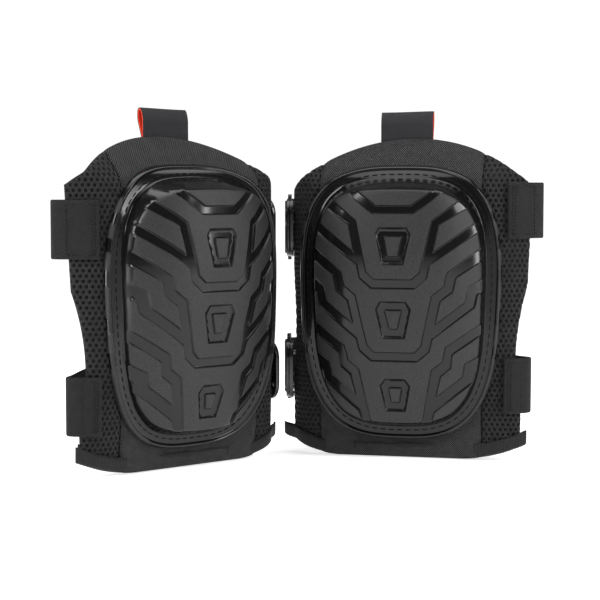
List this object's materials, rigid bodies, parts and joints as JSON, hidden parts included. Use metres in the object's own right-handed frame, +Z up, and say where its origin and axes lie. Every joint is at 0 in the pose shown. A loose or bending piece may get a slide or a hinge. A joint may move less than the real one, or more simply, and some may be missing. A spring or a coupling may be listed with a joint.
{
  "type": "knee pads",
  "caption": "Black strap-on knee pads with ribbed hard caps, padded mesh sleeves, webbing straps, release clips and pull tabs, standing side by side.",
  "frame": {"origin": "centre of the pair's footprint box, on the floor under the two standing pads", "axes": "+Z up; -Y towards the caps' side, the viewer's side; +X to the viewer's right, along the pair's longest extent"},
  "size_m": [0.3736, 0.212, 0.2757],
  "materials": {
    "cap": "gloss",
    "thread": "matte",
    "foam": "matte",
    "gel": "satin",
    "panel_fabric": "matte",
    "mesh_fabric": "matte",
    "lining": "matte",
    "binding": "matte",
    "webbing": "matte",
    "grip_tape": "matte",
    "clip": "gloss",
    "rivet": "satin",
    "ribbon": "matte",
    "tab_lining": "matte"
  },
  "bodies": {
    "right_upper_hook": {"right_upper_hook_plate": "clip", "right_upper_strap_grip": "grip_tape"},
    "right_lower_hook": {"right_lower_hook_plate": "clip", "right_lower_strap_grip": "grip_tape"},
    "right_pull_tab": {"right_pull_tab": "ribbon", "right_pull_tab_lining": "tab_lining"},
    "right_pad": {"right_cap": "cap", "right_cap_stitching": "thread", "right_foam_core": "foam", "right_gel_insert": "gel", "right_front_panel": "panel_fabric", "right_outer_wing": "mesh_fabric", "right_inner_wing": "mesh_fabric", "right_back_lining": "lining", "right_bottom_binding": "binding", "right_upper_strap": "webbing", "right_lower_strap": "webbing", "right_upper_receiver": "clip", "right_lower_receiver": "clip", "right_upper_rivets": "rivet", "right_lower_rivets": "rivet"},
    "left_upper_hook": {"left_upper_hook_plate": "clip", "left_upper_strap_grip": "grip_tape"},
    "left_lower_hook": {"left_lower_hook_plate": "clip", "left_lower_strap_grip": "grip_tape"},
    "left_pull_tab": {"left_pull_tab": "ribbon", "left_pull_tab_lining": "tab_lining"},
    "left_pad": {"left_cap": "cap", "left_cap_stitching": "thread", "left_foam_core": "foam", "left_gel_insert": "gel", "left_front_panel": "panel_fabric", "left_outer_wing": "mesh_fabric", "left_inner_wing": "mesh_fabric", "left_back_lining": "lining", "left_bottom_binding": "binding", "left_upper_strap": "webbing", "left_lower_strap": "webbing", "left_upper_receiver": "clip", "left_lower_receiver": "clip", "left_upper_rivets": "rivet", "left_lower_rivets": "rivet"}
  },
  "joints": [
    {"name": "right_upper_release", "type": "slide", "parent": "right_pad", "child": "right_upper_hook", "axis": [-0.0436, -0.999, 0], "range_m": [0, 0.009], "deforming": ["right_upper_strap"]},
    {"name": "right_lower_release", "type": "slide", "parent": "right_pad", "child": "right_lower_hook", "axis": [-0.0436, -0.999, 0], "range_m": [0, 0.009], "deforming": ["right_lower_strap"]},
    {"name": "right_tab_flex", "type": "hinge", "parent": "right_pad", "child": "right_pull_tab", "pos_m": [0.08221, 0.04127, 0.2609], "axis": [0.9763, -0.2164, 0], "range_deg": [-50, 50]},
    {"name": "left_upper_release", "type": "slide", "parent": "left_pad", "child": "left_upper_hook", "axis": [0.5, -0.866, 0], "range_m": [0, 0.009], "deforming": ["left_upper_strap"]},
    {"name": "left_lower_release", "type": "slide", "parent": "left_pad", "child": "left_lower_hook", "axis": [0.5, -0.866, 0], "range_m": [0, 0.009], "deforming": ["left_lower_strap"]},
    {"name": "left_tab_flex", "type": "hinge", "parent": "left_pad", "child": "left_pull_tab", "pos_m": [-0.11001, -0.00736, 0.2609], "axis": [-0.766, -0.6428, 0], "range_deg": [-50, 50]},
    {"name": "left_pad_apart", "type": "slide", "parent": "right_pad", "child": "left_pad", "axis": [-1, 0, 0], "range_m": [0, 0.1]}
  ]
}
